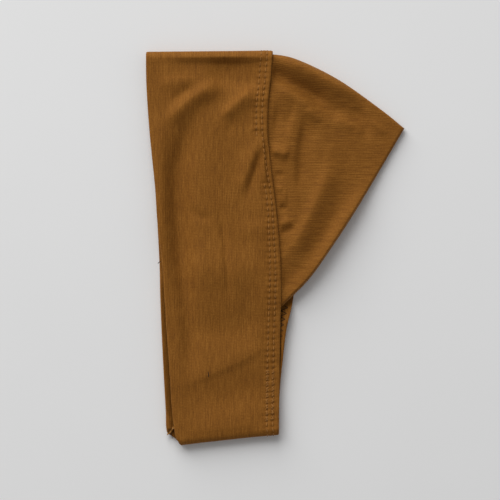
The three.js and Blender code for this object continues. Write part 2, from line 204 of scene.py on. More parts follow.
BAND_FOLDS = [
    # The long diagonal crest that starts at the forehead, with a low swell above it
    Fold(2.8, 4, 7, [(-70, 76), (-66, 83), (-59, 90), (-50, 97), (-42, 102), (-33, 108)]),
    Fold(0.8, 4, 4, [(-76, 101), (-68, 105), (-58, 107), (-50, 110)]),
    # The hollows behind the forehead fold, above the crest and under it
    Fold(-1.5, 5, 10, [(-70, 118), (-50, 118), (-30, 117), (-12, 113)]),
    Fold(-3.4, 18, 7, [(-46, 109), (-34, 109), (-20, 107), (-4, 104)]),
    Fold(-1, 3, 3, [(-66, 92), (-60, 98), (-52, 103)]),
    Fold(-0.8, 5, 6, [(-54, 84), (-45, 90), (-36, 96), (-27, 103)]),
    # A short crest by the seam
    Fold(3, 3, 6, [(-35, 81), (-30, 87), (-25, 92), (-19, 97), (-12, 102)]),
    # The long groove behind the front edge, and its fainter lower half
    Fold(-5, 8, 6, [(-50, 90), (-54, 81), (-57, 73), (-60, 60), (-62, 48), (-62, 30), (-61, 12),
         (-60, -6), (-59, -20), (-58, -36)]),
    Fold(-2.6, 6, 5, [(-60, -4), (-58, -18), (-57, -32), (-56, -46), (-55, -60), (-54, -74), (-53, -90)]),
    # The roll along the front edge
    Fold(2, 5, 6, [(-76, 95), (-74, 70), (-73, 45), (-72, 20), (-71, -5), (-70, -20)]),
    # A thin crease down the middle, and a faint one across
    Fold(-1, 2, 2, [(-37, 30), (-34, 15), (-32, 2), (-31, -10), (-30, -25), (-29, -38)]),
    Fold(-0.7, 3, 3, [(-56, 26), (-48, 20), (-40, 19)]),
    # A broad swell across the middle, and the valley below it
    Fold(2.5, 14, 14, [(-62, -12), (-34, -14), (-6, -18)]),
    Fold(-2, 12, 12, [(-62, -50), (-34, -52), (-6, -48)]),
    # The diagonal swell near the nape, and the broad hollow below it
    Fold(0.7, 3, 8, [(-4, -60), (-16, -68), (-30, -75), (-44, -81), (-62, -88)]),
    Fold(-1.8, 14, 12, [(-64, -100), (-40, -97), (-22, -92), (-2, -84)]),
    Fold(0.6, 14, 12, [(-60, -116), (-40, -116), (-20, -115), (-2, -113)]),
    # The wedge beside the pinch, and the lift on its other side
    Fold(-1.2, 3, 2, [(-7, 66), (-10, 58), (-13, 49), (-16, 40), (-18, 32)]),
    Fold(1.6, 3, 5, [(-11, 70), (-14, 60), (-18, 50), (-21, 40), (-24, 32)]),
    # A low swell by the seam, level with the ears
    Fold(0.8, 5, 6, [(-26, 11), (-14, 12), (0, 14)]),
    # A fine crease above the pinch
    Fold(-0.5, 2, 2, [(-27, 88), (-28, 80), (-29, 70)]),
    # The pinch in the seam: a short step, and the lip that falls over the inner row
    Fold(0.5, 3, 1, [(-17, 74), (-11, 76), (-8, 73)]),
    Fold(1.4, 0.7, 3, [(-9, 75), (-8, 68), (-7, 60), (-7, 52), (-6, 43), (-5, 36)]),
    # The hem sinks where the crown no longer lies under it
    Fold(-2, 14, 14, [(1, -22), (1, -50), (0, -86), (0, -122)]),
]


def fold_lift(folds, x, y):
    """How much the folds of a table lift the cloth at x, y."""
    lift = np.zeros_like(x)
    for fold in folds:
        path = smooth_path(fold.path)
        far = FOLD_FAR * max(fold.left, fold.right)
        low, high = path.min(0) - far, path.max(0) + far
        near = (x > low[0]) & (x < high[0]) & (y > low[1]) & (y < high[1])
        if not near.any():
            continue
        best, side, share = nearest_on(path, np.stack([x[near], y[near]], axis=-1))
        reach = np.where(side > 0, fold.left, fold.right)
        fade = mix(FOLD_END, 1, eased(share / FOLD_GROW) * eased((1 - share) / FOLD_GROW))
        lift[near] += fold.rise * fade * np.exp(-((best / reach) ** 2))
    return lift


print(len(BAND_FOLDS), "folds in the band")

# %% [markdown]
# ## The band's height
#
# The height of the top layer is a smooth loft, plus the folds, plus a little unevenness that all limp
# cloth has. The under layer lies flat on the table, so its height is zero.


# %% Where the band's cloth is
REST_SOFT = 0.3  # mm2, how softly cloth comes to rest on what lies below it
BAND_HOLLOW = 0.3  # least height between the two layers of the band
CALM_EDGE, CALM_GROW = 3, 6  # mm from a fold that stay even, and mm in which unevenness grows
BAND_UNEVEN = [(0.08, 22, 1), (0.03, 9, 2)]


def held_above(height, floor):
    """The height, kept softly above a floor."""
    clear = height - floor
    return floor + (clear + np.sqrt(clear**2 + REST_SOFT)) / 2


def band_loft(across, y):
    front, middle, seam = (column_at(BAND_LOFT, column, y) for column in ("front", "middle", "seam"))
    panel = mix(front, middle, eased(across / PANEL_RISE))
    return mix(panel, seam, eased((across - SEAM_RISE[0]) / (SEAM_RISE[1] - SEAM_RISE[0])))


def band_top(x, y):
    front = column_at(BAND_PLAN, "top_front", y)
    back = column_at(BAND_PLAN, "top_back", y)
    across = np.clip((x - front) / (back - front), 0, 1)
    clear = np.minimum(y - mix(*NAPE_FOLD, across), mix(*FOREHEAD_FOLD, across) - y)
    lively = eased((clear - CALM_EDGE) / CALM_GROW)
    folded = fold_lift(BAND_FOLDS, x, y) + unevenness(BAND_UNEVEN, x, y)
    return held_above(band_loft(across, y) + lively * folded, 2 * BAND_WALL + BAND_HOLLOW)


# %% [markdown]
# ## One mesh for a folded loop
#
# The band is made as rings. A ring goes round the thickness of the cloth: along its outer side, round the
# hem, back along its inner side and round the front edge. The rings follow each other along the loop:
# under layer, forehead fold, top layer, nape fold. They are close together on the top layer, where the
# stitches have to show.
#
# Next to the hem the columns keep a fixed distance from the edge, so that the rows of stitches run along
# them.

# %% Grid of the band
HEM_ZONE = 17.0  # mm of cloth by the hem with fixed columns
OUTER_COLUMNS, INNER_COLUMNS = (53, 32), (27, 14)  # how many on the panel, and by the hem


def columns(panel, hem):
    """Shares of the panel's width, and mm in from the hem's edge."""
    return np.linspace(0, 1, panel), np.linspace(HEM_ZONE, 0, hem)[1:]


panel_columns, hem_columns = columns(*OUTER_COLUMNS)
inner_panel, inner_hem = columns(*INNER_COLUMNS)
print("columns:", len(hem_columns) + len(panel_columns), "and", len(inner_panel) + len(inner_hem))


def half_height(across, end):
    """Half the height of the band at the forehead fold (end 1) or at the nape fold (end -1)."""
    return band_loft(across, end * HALF_LENGTH + 0 * across) / 2


def band_station(kind, value, panel, hem):
    """Points and outward direction of one ring's outer side. The kind is under, top, forehead or nape."""
    across = np.concatenate([panel * (1 - HEM_ZONE / NOMINAL_WIDTH), 1 - hem / NOMINAL_WIDTH])
    if kind in ("under", "top"):
        low = mix(*NAPE_FOLD, across) + half_height(across, -1)
        high = mix(*FOREHEAD_FOLD, across) - half_height(across, 1)
        y = mix(low, high, value)
        front = column_at(BAND_PLAN, kind + "_front", y)
        back = column_at(BAND_PLAN, kind + "_back", y)
    else:
        end = 1 if kind == "forehead" else -1
        fold = mix(*(FOREHEAD_FOLD if end > 0 else NAPE_FOLD), across)
        turn = half_height(across, end)
        centre = fold - end * turn
        share = (1 + math.sin(value)) / 2
        closing = math.cos(value)
        edges = []
        for edge in ("_front", "_back"):
            under, top = (column_at(BAND_PLAN, layer + edge, centre) for layer in ("under", "top"))
            edges.append(mix(mix(under, top, share), column_at(BAND_PLAN, "top" + edge, fold), closing))
        front, back = edges
        y = centre + end * turn * closing
    front = front + FRONT_NOSE
    back = back - BACK_NOSE
    panel_count = len(panel)
    x = np.empty_like(y)
    x[:panel_count] = mix(front[:panel_count], back[:panel_count] - HEM_ZONE, panel)
    x[panel_count:] = back[panel_count:] - hem
    if kind == "under":
        z, out = 0 * x, (0, 0, -1)
    elif kind == "top":
        z, out = band_top(x, y), (0, 0, 1)
    else:
        z, out = turn + turn * math.sin(value), (0, end * math.cos(value), math.sin(value))
    return np.stack([x, y, z], axis=-1), np.array(out, float)


UNDER_RINGS, TOP_RINGS, TURN_RINGS = 190, 400, 18
UNDER_CROWDS = [(0, 4, 5), (LAYER, 2, 8)]
TOP_CROWDS = [(0, 0.6, 5), (LAYER, 0.6, 8)]
under_shares = crowded_places(LAYER, UNDER_RINGS - 1, UNDER_CROWDS) / LAYER
top_shares = crowded_places(LAYER, TOP_RINGS - 1, TOP_CROWDS)[::-1] / LAYER
turn_angles = np.linspace(-math.pi / 2, math.pi / 2, TURN_RINGS + 2)[1:-1]
stations = (
    [("under", share) for share in under_shares]
    + [("forehead", angle) for angle in turn_angles]
    + [("top", share) for share in top_shares]
    + [("nape", angle) for angle in turn_angles[::-1]]
)


def station_grid(panel, hem):
    made = [band_station(kind, value, panel, hem) for kind, value in stations]
    points = np.array([m[0] for m in made])
    out = np.array([m[1] for m in made])[:, None, :]
    return points, out


outer_base, outward = station_grid(panel_columns, hem_columns)
inner_base, _ = station_grid(inner_panel, inner_hem)
seam_line = outer_base[:, -8]  # the column beside the outer row of stitches
loop_run = run_along(seam_line)
loop_length = loop_run[-1] + np.linalg.norm(seam_line[0] - seam_line[-1])
print("the band's loop is", round(float(loop_length)), "mm round in", len(stations), "rings")

# %% [markdown]
# ## The sewn hem
#
# A twin needle leaves two rows of stitches, and each needle hole pulls the soft cloth down. Between the
# holes the cloth puffs up, and short puckers run across the rows. This relief is worked out as a height,
# to be added to the mesh, from how far a point lies in from the edge and how far it is along the seam.

# %% Relief of the hem
STITCH = 3.7  # mm from hole to hole
SEAM_ROWS = {
    "y": [-126, -110, -59, -33, 5, 31, 52, 75, 124],
    "first": [3.9, 4.2, 4.2, 3.8, 3.3, 2.4, 2.9, 3.5, 3.6],
    "second": [7.8, 7.9, 7.9, 7.4, 6.3, 5.2, 6.2, 7.2, 7.4],
}
hole_count = round(float(loop_length) / STITCH)
hole_step = loop_length / hole_count
ring_y = seam_line[:, 1]
is_top = np.array([kind == "top" for kind, _ in stations])
row_insets = {
    row: np.where(is_top, column_at(SEAM_ROWS, row, ring_y), SEAM_ROWS[row][-1])
    for row in ("first", "second")
}

OVERLAP = (-110.0, -78.0)  # y of the ends of the stretch that was sewn over twice
PINCH = (42.0, 72.0)  # y of the ends of the lip that hides the inner row
END_FADE = 4  # mm in which either of them begins and ends
ROW_DIP, ROW_REACH = 0.1, 0.85  # the shallow channel along each row
HOLE_DIP, HOLE_ACROSS, HOLE_ALONG = 0.33, 0.95, 0.8  # each needle hole
HOLE_VARY = 0.45  # how unequal the holes are
TWICE_SHALLOW = 0.6  # how much shallower the holes are where the seam is sewn over twice
PUFF_RISE, PUFF_REACH, PUFF_WAVE = 0.16, 1.2, 0.5  # the cloth between the rows
PUCKER_RISE, PUCKER_REACH = 0.12, 4.2  # short puckers across the rows
PINCHED = 0.7  # how much of the puckers the pinch takes away
CRUMB_RISE, CRUMB_SIZE, CRUMB_REACH = 0.3, 1.3, 2.6  # cloth bunched up by the second sewing
WAVE_RISE, WAVE_REACH = 0.24, 12  # slow unevenness of the hem
EDGE_DIP, EDGE_REACH = 0.25, 0.9  # the rounded edge


def hem_relief(inset, run, first, second, shown, where, twice):
    """Height to add to the outer side, inset mm in from the edge and run mm along the seam.

    shown is 0 where the pinch hides the second row, and where is 0 off the top layer."""
    phase = (run / hole_step + 0.5) % 1 - 0.5
    beat = np.cos(2 * np.pi * phase)
    off_middle = inset - (first + second) / 2
    vary = 1 + HOLE_VARY * soft_noise(run, 0 * run, 6, 11)
    height = np.zeros(np.broadcast(inset, run).shape)
    for row, open_row in ((first, 1), (second, shown)):
        height -= ROW_DIP * open_row * np.exp(-(((inset - row) / ROW_REACH) ** 2))
        hole = np.exp(-(((inset - row) / HOLE_ACROSS) ** 2) - (phase * hole_step / HOLE_ALONG) ** 2)
        height -= HOLE_DIP * open_row * (1 - TWICE_SHALLOW * twice) * vary * hole
    height += PUFF_RISE * np.exp(-((off_middle / PUFF_REACH) ** 2)) * (1 + PUFF_WAVE * beat)
    pucker = vary * beat * np.exp(-((off_middle / PUCKER_REACH) ** 2))
    height -= PUCKER_RISE * (1 - PINCHED * (1 - shown)) * pucker
    crumbs = soft_noise(run, inset, CRUMB_SIZE, 17) * np.exp(-((off_middle / CRUMB_REACH) ** 4))
    height += CRUMB_RISE * twice * crumbs
    slow = soft_noise(run, inset * 0.35, 5.5, 12) + 0.7 * soft_noise(run, inset * 0.3, 11, 13)
    height += where * WAVE_RISE * slow * np.exp(-(inset / WAVE_REACH))
    height -= EDGE_DIP * np.exp(-((inset / EDGE_REACH) ** 2))
    return height


def within(ends, margin):
    """1 on the top rings between two y, and 0 elsewhere, with soft ends that begin margin mm outside them."""
    inside = eased((ring_y - ends[0] + margin) / END_FADE) * eased((ends[1] + margin - ring_y) / END_FADE)
    return (is_top * inside)[:, None]


def relief_on(columns_inset):
    first, second = (row_insets[row][:, None] for row in ("first", "second"))
    shown = 1 - within(PINCH, END_FADE / 2)
    where = is_top.astype(float)[:, None]
    return hem_relief(columns_inset, loop_run[:, None], first, second, shown, where, within(OVERLAP, 0))


def insets_of(points):
    """How far each point of a grid lies in from the hem's edge, in mm."""
    return np.abs(points[:, -1:, 0] - points[:, :, 0]) + BACK_NOSE


outer_relief = relief_on(insets_of(outer_base))
outer = outer_base + outward * outer_relief[:, :, None]
inner_relief = relief_on(insets_of(inner_base))
INNER_SHARE = 0.3  # how much of the relief comes through to the inner side
inner = inner_base - outward * (BAND_WALL - INNER_SHARE * inner_relief[:, :, None])
outer[:, :, 2] = np.maximum(outer[:, :, 2], 0)
print("relief of the hem, mm:", outer_relief.min().round(2), "to", outer_relief.max().round(2))

# %% The loose edges of the under layer
FRONT_ROLL = 3.8  # how far its front edge puffs up where it sticks out on the left
GAP_LINE, ROLL_SIDE = 1.1, 0.7  # the dark gap beside that roll, and mm in which it rises from it
ROLL_START, ROLL_GROW, ROLL_STOP = 2, 22, 2  # y where it begins, and mm in which it grows and stops
CUT_END = {"x": [-69.3, -64.4], "y": [-120.2, -114.4]}  # the slanting line where it stops
HEM_PUFF = 4.6  # how far its back hem puffs up where it sticks out on the right
HEM_COVER, HEM_SIDE = 1.8, 2.8  # mm of it that the top layer covers, and mm in which it rises
CROWN_END = {"x": [3.4, 11.7], "y": [-38.4, -30.6]}  # the slanting line where the crown ends
HEM_GROW, HEM_END, HEM_STOP = 12, -108, 20  # mm in which it grows, y of its end, mm in which it stops
OUTER_SHARE = 0.75  # how far the outer side follows, so that the edges stay thin


def puffed_edges(points):
    """Height that the under layer's loose edges puff up where the top layer leaves them uncovered."""
    x, y = points[:, :, 0], points[:, :, 1]
    top_front, top_back = (column_at(BAND_PLAN, "top" + edge, y) for edge in ("_front", "_back"))
    cut_end, crown_end = (np.interp(x, line["x"], line["y"]) for line in (CUT_END, CROWN_END))
    roll = eased((top_front - GAP_LINE - x) / ROLL_SIDE)
    roll *= eased((ROLL_START - y) / ROLL_GROW) * eased((y - cut_end) / ROLL_STOP)
    hem = eased((x - top_back + HEM_COVER) / HEM_SIDE)
    hem *= eased((crown_end - y) / HEM_GROW) * eased((y - HEM_END) / HEM_STOP)
    return FRONT_ROLL * roll + HEM_PUFF * hem


under_rings = np.array([kind == "under" for kind, _ in stations])
inner[under_rings, :, 2] += puffed_edges(inner[under_rings])
outer[under_rings, :, 2] += OUTER_SHARE * puffed_edges(outer[under_rings])
print("highest point of the under layer, mm:", round(float(inner[under_rings, :, 2].max()), 1))

# %% [markdown]
# ## Closing a grid into a mesh
#
# Both pieces of cloth are grids that close round the thickness. One function joins the corners into
# faces, and also writes a UV map that holds real millimetres, so that a pattern on it has the size of the
# real knit: U counts across the ribs of the knit and V along them.


# %% Mesh from rings
def in_scene(name, data):
    """A new object of the scene."""
    made = bpy.data.objects.new(name, data)
    bpy.context.scene.collection.objects.link(made)
    return made


def cloth_object(name, rings, uv, looped):
    """A closed mesh from rings of points in mm. uv has one more ring where the rings loop."""
    count, corners = rings.shape[:2]
    spans = count if looped else count - 1
    ring = np.arange(spans)[:, None]
    corner = np.arange(corners)[None, :]
    following = (corner + 1) % corners

    def at(r, c):
        return ((r % count) * corners + c).ravel()

    around = ((ring, corner), (ring + 1, corner), (ring + 1, following), (ring, following))
    quads = np.stack([at(r, c) for r, c in around], axis=-1)
    uv_index = np.stack([(r * corners + c).ravel() for r, c in around], axis=-1)
    faces = quads.tolist()
    corner_uv = [uv.reshape(-1, 2)[uv_index].reshape(-1, 2)]
    if not looped:
        for r, turned in ((0, False), (count - 1, True)):
            for c in range(corners // 2 - 1):
                cap = [c, c + 1, corners - 2 - c, corners - 1 - c]
                cap = cap[::-1] if turned else cap
                faces.append([r * corners + k for k in cap])
                corner_uv.append(uv.reshape(-1, 2)[[r * corners + k for k in cap]])
    mesh = bpy.data.meshes.new(name)
    mesh.from_pydata((rings.reshape(-1, 3) * MM).tolist(), [], faces)
    layer = mesh.uv_layers.new(name="cloth_mm")
    layer.data.foreach_set("uv", np.vstack(corner_uv).astype(np.float32).ravel())
    mesh.shade_smooth()
    mesh.validate()
    return in_scene(name, mesh)


NOSE_STEPS = 5
THROUGH = 2  # mm on the map between the outer and the inner side


def nose(outside, inside, reach):
    """Points that round an edge from the outer side to the inner side."""
    angles = np.linspace(0, math.pi, NOSE_STEPS + 2)[1:-1]
    middle, half = (outside + inside) / 2, (outside - inside) / 2
    points = [middle + half * math.cos(a) + np.array([reach * math.sin(a), 0, 0]) for a in angles]
    return np.stack(points, axis=1)


back_nose = nose(outer[:, -1], inner[:, -1], BACK_NOSE)
front_nose = nose(inner[:, 0], outer[:, 0], -FRONT_NOSE)
band_rings = np.concatenate([outer, back_nose, inner[:, ::-1], front_nose], axis=1)
closed = np.concatenate([band_rings, band_rings[:1]])
run_v = np.append(loop_run, loop_length)[:, None] * np.ones((1, closed.shape[1]))
turning = np.linspace(0, THROUGH, NOSE_STEPS)
depth = np.concatenate(
    [np.zeros(outer.shape[1]), turning, np.full(inner.shape[1], THROUGH), np.zeros(NOSE_STEPS)]
)
band_uv = np.stack([closed[:, :, 0] + depth, run_v], axis=-1)
band_cloth = cloth_object("band_cloth", band_rings, band_uv, looped=True)
print("band:", len(band_cloth.data.polygons), "faces")

# %% [markdown]
# ## The crown
#
# The crown is one ply thick and closed along its outline. Each section starts at the sewn edge of the top
# layer, runs out to the outline, turns over and comes back along the under layer. Its folds start at the
# seam, where the band pulls on it, and die out towards the tip.

# %% Tables of the crown
CROWN_TOP_LINE = [(-10.5, 123.3), (-1.5, 123.5), (14, 120.2), (40.2, 107.5), (67.7, 88.3), (82.5, 76.4)]
CROWN_BACK_LINE = [(82.5, 76.4), (51.7, 24.3), (30.6, -7.7), (21, -20.5), (11.7, -30.1), (3.0, -38.6)]
CROWN_MOUTH = {"first": 117.2, "top": -44.0, "under": -37.0}  # y where the sewn edge starts and ends
TIP_SHARE = 0.45  # the share of the sections that come before the tip
CROWN_EDGE = {
    "share": [0, 0.05, 0.2, 0.45, 0.73, 0.88, 1],
    "height": [5.4, 5.4, 4.2, 1.8, 2.4, 3.4, 4.2],
    "turn": [3.0, 2.6, 2.4, 1.8, 1.6, 1.8, 2.4],
}
CROWN_LOFT = (10.2, 4.6, 92)  # height beside the band, height at the tip, mm between them
CROWN_START, CROWN_SETTLE = 0.6, 11  # mm past the band where the under layer starts to sink, and mm it takes
CROWN_BLEND, CROWN_LIVELY = 14, 3  # mm past the band in which the crown's own height and its folds set in
CROWN_HOLLOW = 0.2  # least height between the two layers of the crown
CROWN_UNEVEN = [(0.07, 24, 5), (0.03, 8, 6)]
CROWN_FOLDS = [
    # The rim, and the deep groove inside it
    Fold(3, 3, 6, [(-2, 120), (10, 117), (20, 113), (30, 108), (41, 102), (53, 94)]),
    Fold(-4.6, 5, 4, [(-8, 116), (0, 112), (7, 107), (14, 103), (22, 99), (30, 93), (37, 87)]),
    # The crest below the groove
    Fold(1.3, 3, 5, [(0, 105), (6, 101), (12, 97), (18, 92), (24, 85), (29, 79)]),
    Fold(0.9, 3, 3, [(19, 90), (24, 85), (30, 79)]),
    # The hollow by the seam, and the large pucker below it
    Fold(-2.2, 10, 10, [(-3, 83), (4, 82), (12, 80)]),
    Fold(2.5, 4, 3, [(-4, 62), (2, 61), (9, 58)]),
    # The narrow valley that runs down the middle
    Fold(-2.5, 8, 3, [(20, 87), (19, 77), (17, 67), (16, 56), (16, 45), (15, 35)]),
    # Small puckers along the seam
    Fold(-0.8, 2, 2, [(-1, 47), (6, 46)]),
    Fold(1, 2, 2, [(-1, 39), (5, 37)]),
    Fold(1, 6, 5, [(1, 32), (8, 32)]),
    Fold(-1, 2, 2, [(3, 27), (7, 24)]),
    Fold(1.5, 3, 3, [(2, 16), (6, 16), (10, 18)]),
    Fold(-1.2, 3, 2, [(2, 9), (8, 11), (13, 15)]),
    # The two long folds beside the back edge, and the valley between them
    Fold(2.7, 4, 7, [(4, -8), (12, 2), (18, 12), (23, 23), (28, 34), (32, 45), (35, 60)]),
    Fold(-0.6, 5, 5, [(8, -18), (17, -9), (26, 2), (34, 14), (40, 27), (43, 41), (45, 55)]),
    Fold(3, 5, 5, [(17, -24), (29, -9), (38, 6), (47, 20), (56, 34), (62, 46)]),
    Fold(-1.5, 7, 6, [(5, -28), (10, -18), (17, -9)]),
    # Shallow grooves and swells towards the tip
    Fold(-1.2, 3, 3, [(50, 92), (56, 80), (59, 66)]),
    Fold(-2, 7, 5, [(28, 92), (38, 88), (48, 84), (58, 80)]),
    Fold(1, 5, 4, [(36, 82), (44, 80), (52, 76)]),
    Fold(1, 2, 2, [(60, 82), (66, 77), (70, 71)]),
]
print(len(CROWN_FOLDS), "folds in the crown")


# %% Sections of the crown
def evenly(points, count):
    """The same line with its points evenly apart."""
    run = run_along(points)
    return read_along(np.linspace(0, run[-1], count), run, points)


SECTIONS, OUTLINE_STEPS = 200, 40
tip_section = round(SECTIONS * TIP_SHARE)
top_line = evenly(smooth_path(CROWN_TOP_LINE, OUTLINE_STEPS), tip_section + 1)
back_line = evenly(smooth_path(CROWN_BACK_LINE, OUTLINE_STEPS), SECTIONS - tip_section + 1)
outline = np.vstack([top_line, back_line[1:]])
outline_share = np.linspace(0, 1, SECTIONS + 1)
tangent = np.gradient(outline, axis=0)
tangent /= np.linalg.norm(tangent, axis=1)[:, None]
inner_outline = outline + np.stack([tangent[:, 1], -tangent[:, 0]], axis=-1) * CROWN_WALL


def crown_top(x, y):
    back = column_at(BAND_PLAN, "top_back", y)
    past = x - back
    lap = band_top(np.minimum(x, back), y) - BAND_WALL - LAP_GAP
    beside, tip, run = CROWN_LOFT
    own = mix(beside, tip, eased(past / run))
    folded = fold_lift(CROWN_FOLDS, x, y) + unevenness(CROWN_UNEVEN, x, y)
    height = mix(lap, own, eased(past / CROWN_BLEND)) + eased(past / CROWN_LIVELY) * folded
    return held_above(height, crown_under(x, y) + 2 * CROWN_WALL + CROWN_HOLLOW)


def crown_under(x, y):
    past = x - column_at(BAND_PLAN, "under_back", y) - CROWN_START
    return (BAND_WALL + LAP_GAP) * (1 - eased(past / CROWN_SETTLE))


def crown_side(is_top, wall, steps):
    """The cloth between a sewn edge and the outline: (sections, steps, 3)."""
    layer = "top" if is_top else "under"
    y = mix(CROWN_MOUTH["first"], CROWN_MOUTH[layer], outline_share)
    sewn = np.stack([column_at(BAND_PLAN, layer + "_back", y) - SEAM_LAP, y], axis=-1)
    edge = inner_outline if wall else outline
    rows = []
    for start, end in zip(sewn, edge):
        length = np.linalg.norm(end - start)
        by_seam, by_outline = (SEAM_LAP + 4, 0.8, 8), (length, 6, 1.5)
        places = crowded_places(length, steps, [by_seam, by_outline])
        rows.append(start + (end - start) * (places / length)[:, None])
    plan = np.array(rows)
    x, y = plan[..., 0], plan[..., 1]
    height = column_at(CROWN_EDGE, "height", outline_share, "share")[:, None]
    turn = column_at(CROWN_EDGE, "turn", outline_share, "share")[:, None] - wall
    inset, _, _ = nearest_on(outline, plan)
    share = np.clip(np.maximum(inset - wall, 0) / turn, 0, 1)
    climb = np.sqrt(1 - (1 - share) ** 2)
    face = crown_top(x, y) - wall if is_top else crown_under(x, y) + wall
    return np.stack([x, y, mix(height, face, climb)], axis=-1)


TOP_STEPS, UNDER_STEPS = 90, 45


def crown_cloth_side(wall):
    top, under = crown_side(True, wall, TOP_STEPS), crown_side(False, wall, UNDER_STEPS)
    return np.concatenate([top, under[:, -2::-1]], axis=1)


def spread_out(side):
    """Where the points of a side would lie if each section were pulled straight, across the table."""
    steps = np.linalg.norm(np.diff(side, axis=1), axis=2)
    run = np.concatenate([np.zeros((len(side), 1)), np.cumsum(steps, axis=1)], axis=1)
    sewn, edge = side[:, 0, :2], outline
    way = (edge - sewn) / np.linalg.norm(edge - sewn, axis=1)[:, None]
    plan = sewn[:, None] + way[:, None] * run[..., None]
    return plan[..., ::-1]


crown_outside, crown_inside = crown_cloth_side(0), crown_cloth_side(CROWN_WALL)
crown_rings = np.concatenate([crown_outside, crown_inside[:, ::-1]], axis=1)
crown_uv = np.concatenate([spread_out(crown_outside), spread_out(crown_inside)[:, ::-1]], axis=1)
crown_cloth = cloth_object("crown_cloth", crown_rings, crown_uv, looped=False)
print("crown:", len(crown_cloth.data.polygons), "faces")

# %% [markdown]
# ## The closing seam at the nape
#
# The band's two ends are sewn together, and the cut edges are left inside as a narrow allowance. Its end
# peeps out at the lower left corner, where the separate plies can be counted. Each ply is a thin closed
# leaf.

# %% Plies of the closing seam
NAPE_SEAM_ROWS = {
    "low": [(-69.3, -119.7), (-67.1, -118.1), (-64.6, -115.4), (-58, -116), (-30, -118), (0.9, -114.8)],
    "high": [(-69.1, -118.6), (-67.4, -116.8), (-65, -114), (-58.4, -114.2), (-30.4, -111.6), (0.6, -108.4)],
}
NAPE_SEAM_BOTTOM = 2.15
PLY, PLY_STEP, PLY_GAP, PLIES = 0.5, 0.56, 0.02, 4
PLY_STATIONS = 16
PLY_ACROSS = [0, 0.04, 0.14, 0.35, 0.5, 0.65, 0.86, 0.96, 1]  # places across a ply, as shares
PLY_SWELL = [0.2, 0.7, 1, 1, 1, 1, 1, 0.7, 0.2]  # how thick it is at each of them, as a share
RIPPLE, RIPPLE_TURN, PLY_TURN = 0.05, 1.7, 9  # mm, and how fast it turns along a ply and from ply to ply
SHRINK, NARROWER, SLIPPED = 0.02, 0.03, 0.15  # every other ply is narrower (a share) and slipped (mm)


def leaf(bottom, shrink):
    """One ply as rings along its length: a flat strip with thin rounded edges."""
    low, high = (smooth_path(NAPE_SEAM_ROWS[row], PLY_STATIONS) for row in ("low", "high"))
    swell = np.array(PLY_SWELL) * PLY / 2
    shares = shrink + np.array(PLY_ACROSS) * (1 - 2 * shrink)
    plan = low[:, None] + (high - low)[:, None] * shares[None, :, None]
    ripple = RIPPLE * np.sin(plan[..., 0] * RIPPLE_TURN + bottom * PLY_TURN) * (shares > 0.5)
    centre = bottom + PLY / 2 + ripple
    top = np.concatenate([plan, (centre + swell)[..., None]], axis=-1)
    under = np.concatenate([plan, (centre - swell)[..., None]], axis=-1)
    return np.concatenate([top, under[:, ::-1]], axis=1)


leaves = []
for ply in range(PLIES):
    rings = leaf(NAPE_SEAM_BOTTOM + PLY_GAP + ply * PLY_STEP, SHRINK + NARROWER * (ply % 2))
    rings = rings[ply % 2 :] + np.array([SLIPPED * (ply % 2), 0, 0])
    uv = np.stack([rings[..., 1], rings[..., 0]], axis=-1)
    leaves.append(cloth_object(f"nape_ply_{ply}", rings, uv, looped=False))


def joined(name, pieces):
    """The pieces as one object, under the first one's name."""
    with bpy.context.temp_override(active_object=pieces[0], selected_editable_objects=pieces):
        bpy.ops.object.join()
    pieces[0].name = name
    pieces[0].data.name = name
    return pieces[0]


nape_seam_cloth = joined("nape_seam_cloth", leaves)
print("closing seam:", len(nape_seam_cloth.data.polygons), "faces")

# %% [markdown]
# ## Colours and nodes
#
# A colour is given as the sRGB hex value a picture editor would show, and one function turns it to the
# linear values that the shader works in. Another adds a node with its settings and links, so that a
# material reads as a list.


# %% Helpers for materials
def colour(hex_value):
    """Linear RGBA of an sRGB hex colour."""
    parts = [int(hex_value[k : k + 2], 16) / 255 for k in (1, 3, 5)]
    return (*[c / 12.92 if c <= 0.04045 else ((c + 0.055) / 1.055) ** 2.4 for c in parts], 1)


def add_node(tree, kind, inputs=None, **settings):
    """A node with its settings, and its inputs set to values or linked to other nodes' outputs."""
    node = tree.nodes.new(kind)
    for name, value in settings.items():
        setattr(node, name, value)
    for name, value in (inputs or {}).items():
        socket = node.inputs[name]
        if isinstance(value, bpy.types.NodeSocket):
            tree.links.new(value, socket)
        else:
            socket.default_value = value
    return node


def new_material(name):
    material = bpy.data.materials.new(name)
    material.use_nodes = True
    material.node_tree.nodes.clear()
    return material, material.node_tree


def woven_surface(tree, base, height, depth, look):
    """The last nodes of a cloth or a thread: its bumps, the shader and the output."""
    bump = add_node(tree, "ShaderNodeBump", {"Height": height, "Strength": 0.5, "Distance": depth})
    inputs = {"Base Color": base, **look, "Normal": bump.outputs["Normal"]}
    shader = add_node(tree, "ShaderNodeBsdfPrincipled", inputs)
    add_node(tree, "ShaderNodeOutputMaterial", {"Surface": shader.outputs["BSDF"]})


# %% [markdown]
# ## Cotton jersey
#
# Jersey is a fine knit. Its ribs (wales) run the length of the cloth, and yarn of uneven thickness gives
# darker and lighter streaks along them. The dye is ochre brown, and the surface is matt with a soft halo
# of loose fibres, which the sheen gives. The ribs of the real knit are about 0.7 mm apart, finer than the
# picture can show, so they are drawn 1.1 mm apart.

